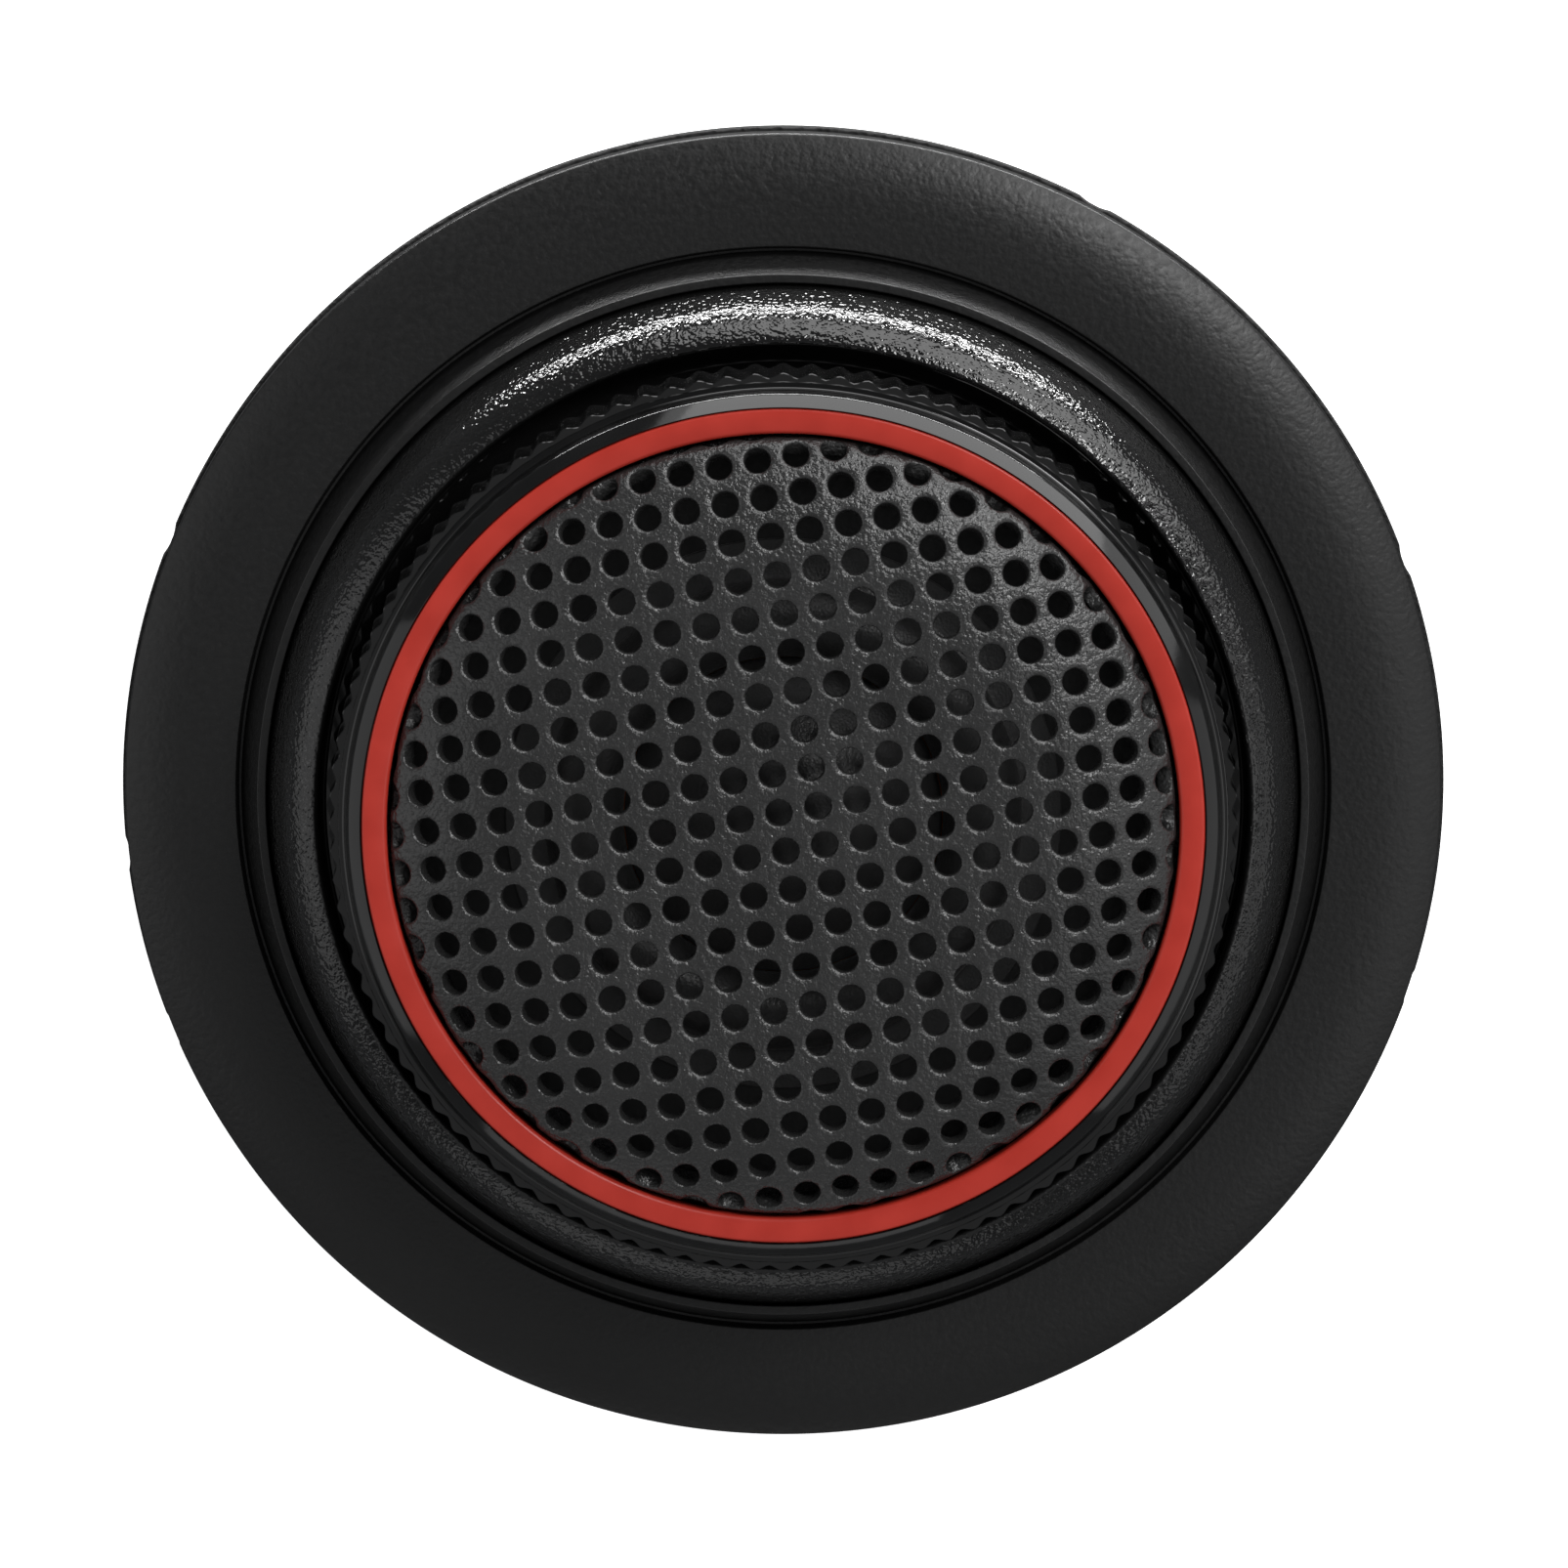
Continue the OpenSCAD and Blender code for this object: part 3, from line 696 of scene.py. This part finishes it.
def grille_path():
    """The sheet's path, and how far along it the edge bend ends and the foot bend starts."""
    roll_turn = math.asin((GRILLE_R - EDGE_BEND_R - DOME_FLAT_R) / (DOME_CURVE_R - EDGE_BEND_R))
    path = SheetPath(GRILLE_TOP_Z)
    path.straight(DOME_FLAT_R)
    path.bend(DOME_CURVE_R, -roll_turn)
    path.bend(EDGE_BEND_R, roll_turn - math.pi / 2)
    bend_end = path.length
    path.straight(path.here.y - GRILLE_FOOT_Z - SHEET_T - FOOT_BEND_R)
    foot_start = path.length
    path.bend(FOOT_BEND_R, math.pi / 2)
    path.straight(GRILLE_FOOT_R - path.here.x)
    return path, bend_end, foot_start


def circle_points(radius, count, centre=(0, 0)):
    """Evenly spaced points round a circle."""
    angles = [2 * math.pi * k / count for k in range(count)]
    return [(centre[0] + radius * math.cos(a), centre[1] + radius * math.sin(a)) for a in angles]


# Rings of vertices that follow the sheet's edge bend and wall, and their distances
RING_SEGMENTS = 240
RING_CLEARANCE = 0.06
BEND_STEP = 0.16
WALL_START = 0.9
WALL_STEP = 0.5
HOLE_EDGE_STEPS = 5


def make_grille():
    """Perforated dome: a flat pattern of holes laid along the sheet's path."""
    path, bend_end, foot_start = grille_path()
    opening = HOLE_R + HOLE_EDGE_W

    def place(u, v, depth):
        distance = math.hypot(u, v)
        point, normal = path.at(distance)
        point = point - normal * depth
        scale = point.x / distance if distance > 1e-6 else 0
        return (u * scale, v * scale, point.y)

    # Flat pattern: hole openings, web points between them, rings along the bends, then the rim
    along = Vector((math.cos(HOLE_TURN), math.sin(HOLE_TURN))) * HOLE_PITCH
    across = Vector((-along.y, along.x))
    span = range(-HOLE_ROWS, HOLE_ROWS + 1)
    lattice = [HOLE_SHIFT + i * along + j * across for i in span for j in span]
    centres = [c for c in lattice if c.length < HOLE_KEEP_R]
    webs = [c + (along + across) / 2 for c in lattice]
    flat = []
    for centre in centres:
        flat += circle_points(opening, HOLE_SEGMENTS, centre)
    flat += [tuple(w) for w in webs if w.length < HOLE_KEEP_R]
    ring_steps = [bend_end + BEND_STEP * k for k in range(-6, 2)]
    ring_steps += [bend_end + WALL_START + WALL_STEP * k for k in range(4)]
    ring_steps += [foot_start + FOOT_BEND_R / 2 * k for k in range(4)]
    for distance in ring_steps:
        near = [c for c in centres if abs(c.length - distance) < opening + 0.2]
        for spot in circle_points(distance, RING_SEGMENTS):
            if all((Vector(spot) - c).length > opening + RING_CLEARANCE for c in near):
                flat.append(spot)
    rim_start = len(flat)
    flat += circle_points(path.length, RING_SEGMENTS)

    loops = [range(h * HOLE_SEGMENTS, (h + 1) * HOLE_SEGMENTS) for h in range(len(centres))]
    loops.append(range(rim_start, rim_start + RING_SEGMENTS))
    edges = [(loop[k], loop[(k + 1) % len(loop)]) for loop in loops for k in range(len(loop))]
    spots, _, triangles, sources, _, _ = delaunay_2d_cdt([Vector(p) for p in flat], edges, [], 0, 1e-6)
    where = {}
    for index, source in enumerate(sources):
        for original in source:
            where[original] = index

    # Holes are found again on a coarse grid, to drop the triangles that cover them
    def covers_hole(triangle):
        middle = sum((spots[i] for i in triangle), Vector((0, 0))) / 3 - HOLE_SHIFT
        i = round(middle.dot(along) / HOLE_PITCH ** 2)
        j = round(middle.dot(across) / HOLE_PITCH ** 2)
        centre = i * along + j * across
        inside = (middle - centre).length < 0.98 * opening
        return inside and (centre + HOLE_SHIFT).length < HOLE_KEEP_R

    kept = [t for t in triangles if not covers_hole(t)]
    count = len(spots)
    verts = [place(p.x, p.y, 0) for p in spots]
    verts += [place(p.x, p.y, SHEET_T) for p in spots]
    faces = [tuple(t) for t in kept]
    faces += [tuple(i + count for i in reversed(t)) for t in kept]

    # Wall of each hole: rounded front edge, straight wall, small back edge
    turns = [math.radians(90 * k / HOLE_EDGE_STEPS) for k in range(1, HOLE_EDGE_STEPS + 1)]
    wall = [(opening - HOLE_EDGE_W * math.sin(a), HOLE_EDGE_H * (1 - math.cos(a))) for a in turns]
    wall.append((HOLE_R, SHEET_T - HOLE_EDGE_H))
    for loop, centre in zip(loops, centres):
        rows = [[where[k] for k in loop]]
        for radius, depth in wall:
            rows.append(range(len(verts), len(verts) + HOLE_SEGMENTS))
            verts += [place(u, v, depth) for u, v in circle_points(radius, HOLE_SEGMENTS, centre)]
        rows.append([where[k] + count for k in loop])
        faces += ring_faces(rows)
    rim = [where[k] for k in reversed(loops[-1])]
    faces += ring_faces([rim, [k + count for k in rim]])
    return make_piece("perforated_grille", verts, faces, "capsule", "grille", 50)


# ---------------------------------------------------------------- diaphragm

FABRIC_T = 0.12


def make_dome():
    """Coated silk dome: a thin sheet on a sphere, with a short skirt on the coil's former."""
    edge_r = node_radius("dome")
    edge_z = node_low("dome") + 0.1
    rise = node_top("dome") - edge_z
    radius = (edge_r ** 2 + rise ** 2) / (2 * rise)
    centre_z = node_top("dome") - radius
    edge_angle = math.degrees(math.acos(edge_r / radius))
    outer = arc(0, centre_z, radius, edge_angle, 90, 2)
    inner = arc(0, centre_z, radius - FABRIC_T, 90, edge_angle, 2)
    outer[-1] = (0, outer[-1][1])
    inner[0] = (0, inner[0][1])
    outline = [(edge_r - FABRIC_T, edge_z - 0.1), (edge_r, edge_z - 0.1), *outer, *inner]
    return make_piece("silk_dome", *lathe(outline, SMALL_SEGMENTS), "diaphragm", "dome")


def make_surround():
    """Half roll of coated silk round the dome, with its flat edge glued to the face plate."""
    outer_r = node_radius("surround")
    inner_r = node_radius("dome") + 0.05
    seat_z = node_low("surround")
    roll_r = node_top("surround") - seat_z
    middle_r = inner_r + roll_r
    low_roll = arc(middle_r, seat_z, roll_r - FABRIC_T, 0, 180, 6)
    outline = [
        *arc(middle_r, seat_z, roll_r, 180, 8, 6),
        (middle_r + roll_r + 0.15, seat_z + 0.14),
        (outer_r - 0.05, seat_z + 0.14),
        (outer_r, seat_z + 0.09),
        (outer_r, seat_z),
        (middle_r + roll_r, seat_z),
        *low_roll,
    ]
    outline.reverse()
    return make_piece("silk_surround", *lathe(outline, SMALL_SEGMENTS), "capsule", "surround")


# ---------------------------------------------------------------- assembly

for node, cad_object in frame["nodes"].items():
    for slot in cad_object.material_slots:
        slot.material = MATERIALS[NODE_SLOT[node]]

make_cup()
make_gasket()
make_ball_ring()
make_bezel()
make_accent()
make_grille()
make_dome()
make_surround()


# ---------------------------------------------------------------- floor and light

FLOOR_GLOW = 0.8
FLOOR_RADIUS = 20
WORLD_GLOW = 0.14
STRIP_PLACE = Vector((4, 58, -10.5)) * MM
LOW_CARD_AZIMUTHS = (110, 190, 262)


def pale_floor():
    """Pale matte sheet that glows a little, so that it stays near white under the soft light."""
    glow = {"Emission_Color": (1, 1, 1, 1), "Emission_Strength": FLOOR_GLOW}
    skin = Surface("pale_floor", Specular_IOR_Level=0.2, **glow)
    dust = skin.noise(40, detail=3)
    skin.colour(dust, grey(0.86), grey(0.9))
    skin.rough(dust, 0.8, 0.9)
    skin.bump((skin.noise(3), 0.01))
    return skin.material


def make_floor():
    """Round floor under the barrel. Glossy rays miss it, so dark gloss doesn't mirror it."""
    bpy.ops.mesh.primitive_circle_add(vertices=128, radius=FLOOR_RADIUS, fill_type="NGON")
    floor = bpy.context.active_object
    floor.name = "floor"
    floor.location.z = BARREL_LOW_Z * MM
    floor.data.materials.append(pale_floor())
    floor.visible_glossy = False


def area_light(name, place, facing, width, height, radiance):
    """Rectangular light whose face has one radiance, where 1 is a white pixel."""
    data = bpy.data.lights.new(name, "AREA")
    data.shape = "RECTANGLE"
    data.size = width
    data.size_y = height
    data.energy = radiance * math.pi * width * height
    light = bpy.data.objects.new(name, data)
    bpy.context.scene.collection.objects.link(light)
    light.location = place
    light.rotation_euler = (-facing).to_track_quat("Z", "Y").to_euler()


def softbox(name, azimuth, elevation, distance, width, height, radiance):
    """Panel that faces the object. Azimuth runs clockwise from the top of the picture, in degrees."""
    a = math.radians(azimuth)
    e = math.radians(elevation)
    side = Vector((math.sin(a) * math.cos(e), math.cos(a) * math.cos(e), math.sin(e)))
    area_light(name, side * distance, -side, width, height, radiance)


make_floor()
area_light("edge_strip", STRIP_PLACE, Vector((0, -1, 0)), 90 * MM, 6 * MM, 40)
softbox("key_panel", 20, 19, 0.6, 0.8, 0.36, 2.2)
softbox("key_spread", 28, 18, 0.65, 1.3, 0.36, 1.6)
softbox("crescent_light", 40, 50, 0.8, 0.24, 0.24, 16)
softbox("left_panel", 272, 40, 0.8, 0.7, 0.6, 0.75)
softbox("ceiling", 180, 60, 1.0, 1.3, 1.1, 0.22)
for azimuth in LOW_CARD_AZIMUTHS:
    softbox(f"low_card_{azimuth}", azimuth, 12, 0.5, 0.55, 0.22, 0.6)
softbox("right_panel", 100, 50, 0.8, 0.6, 0.5, 1.0)

world = bpy.data.worlds.new("studio")
world.use_nodes = True
background = world.node_tree.nodes["Background"]
background.inputs["Color"].default_value = (0.95, 0.97, 1.0, 1)
background.inputs["Strength"].default_value = WORLD_GLOW
bpy.context.scene.world = world
bpy.context.scene.view_settings.view_transform = "Standard"
